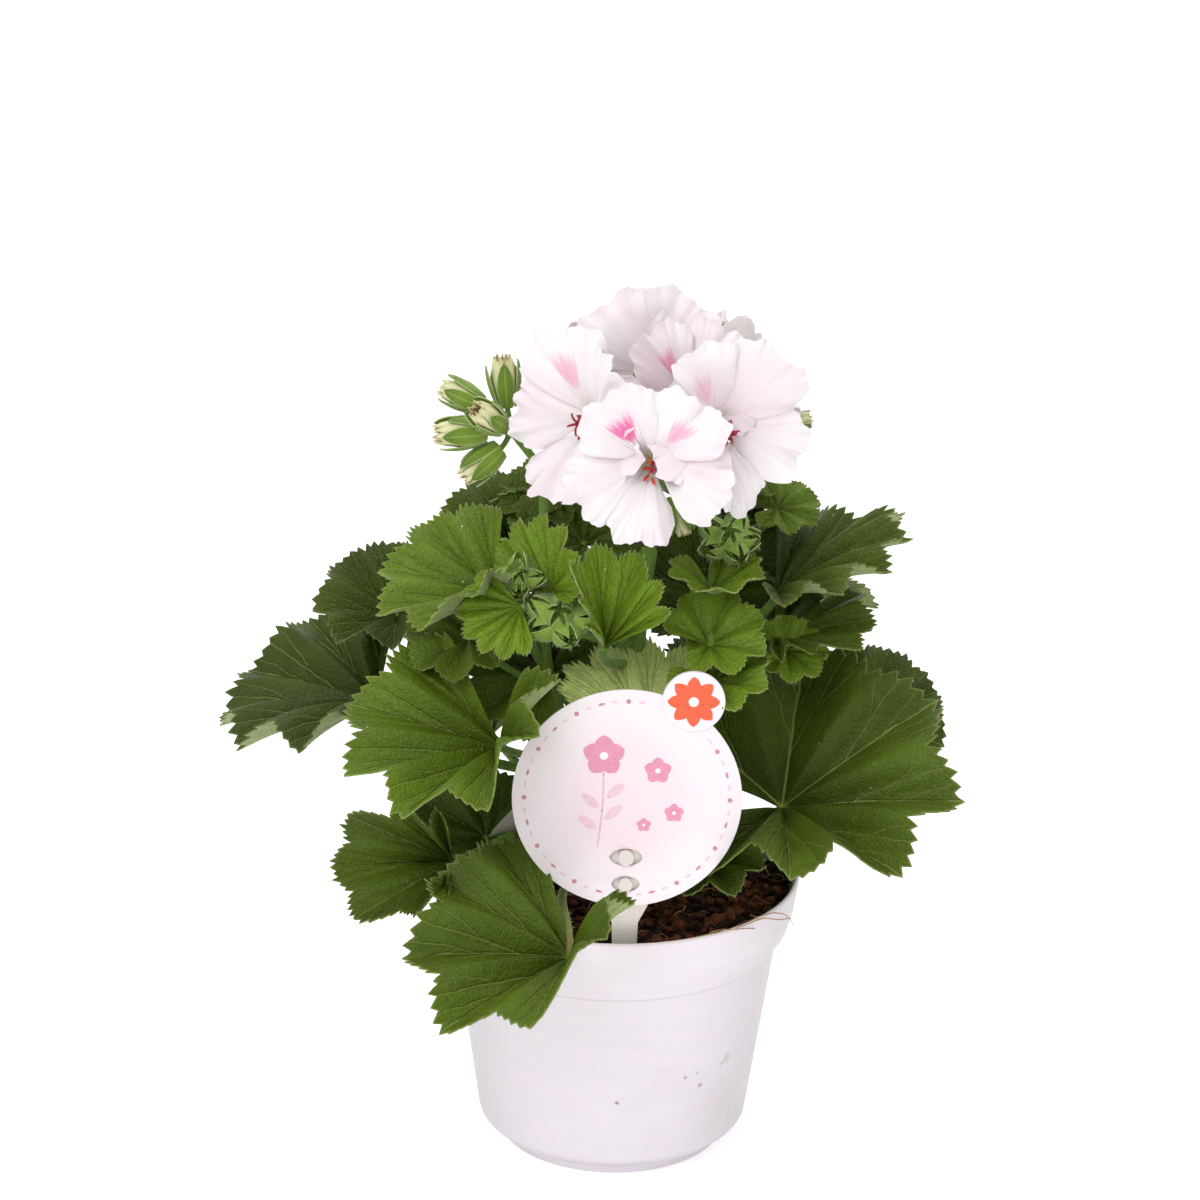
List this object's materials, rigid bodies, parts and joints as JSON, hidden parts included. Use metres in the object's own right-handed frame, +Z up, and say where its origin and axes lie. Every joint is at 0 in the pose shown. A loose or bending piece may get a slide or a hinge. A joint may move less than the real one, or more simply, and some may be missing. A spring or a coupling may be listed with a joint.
{
  "type": "potted regal geranium",
  "caption": "Potted regal geranium: a bushy plant with pleated lobed leaves and a head of ruffled white flowers, in a plastic nursery pot with a round plant label on a stake.",
  "frame": {"origin": "on the pot's axis, on the surface that the pot stands on", "axes": "+Z up, -Y towards the front where the label faces, +X to the right seen from the front"},
  "size_m": [0.2348, 0.2214, 0.2875],
  "materials": {
    "pot": "satin",
    "compost": "rough",
    "label": "satin",
    "stake": "satin",
    "stem": "matte",
    "leaf": "satin",
    "petal": "matte",
    "cream_bud": "matte",
    "green_bud": "matte"
  },
  "bodies": {
    "root": {"grow_pot": "pot", "potting_soil": "compost", "label_disc": "label", "label_stake": "stake", "branched_stem": "stem", "flower_stalk": "stem", "bud_stalk": "stem", "cream_bud_top": "cream_bud", "cream_bud_back": "cream_bud", "cream_bud_left": "cream_bud", "cream_bud_front": "cream_bud", "cream_bud_low": "cream_bud", "head_bud_under": "cream_bud", "head_bud_back": "cream_bud", "head_bud_right": "cream_bud", "flower_front": "petal", "flower_left": "petal", "flower_right": "petal", "flower_upper": "petal", "flower_back_left": "petal", "flower_top": "petal", "flower_back_right": "petal", "green_buds_centre": "green_bud", "green_buds_left": "green_bud", "green_buds_right": "green_bud", "leaf_front_low": "leaf", "leaf_left_middle": "leaf", "leaf_right_large": "leaf", "leaf_left_low": "leaf", "leaf_low_right": "leaf", "leaf_behind_label": "leaf", "leaf_centre": "leaf", "leaf_left_small": "leaf", "leaf_left_upright": "leaf", "leaf_left_upper": "leaf", "leaf_far_left": "leaf", "leaf_left_outer": "leaf", "leaf_left_under": "leaf", "leaf_left_top": "leaf", "leaf_left_crown": "leaf", "leaf_right_cup": "leaf", "leaf_right_light": "leaf", "leaf_right_fold": "leaf", "leaf_right_top": "leaf", "leaf_right_middle": "leaf", "leaf_right_tip": "leaf", "leaf_right_outer": "leaf", "leaf_right_crown": "leaf", "leaf_centre_back": "leaf", "leaf_left_inner": "leaf", "leaf_centre_low": "leaf", "leaf_right_inner": "leaf", "leaf_back_low_left": "leaf", "leaf_back_low": "leaf", "leaf_back_low_right": "leaf", "leaf_back_left": "leaf", "leaf_back_middle": "leaf", "leaf_back_right": "leaf", "leaf_back_high_left": "leaf", "leaf_back_high_right": "leaf"}
  },
  "joints": []
}
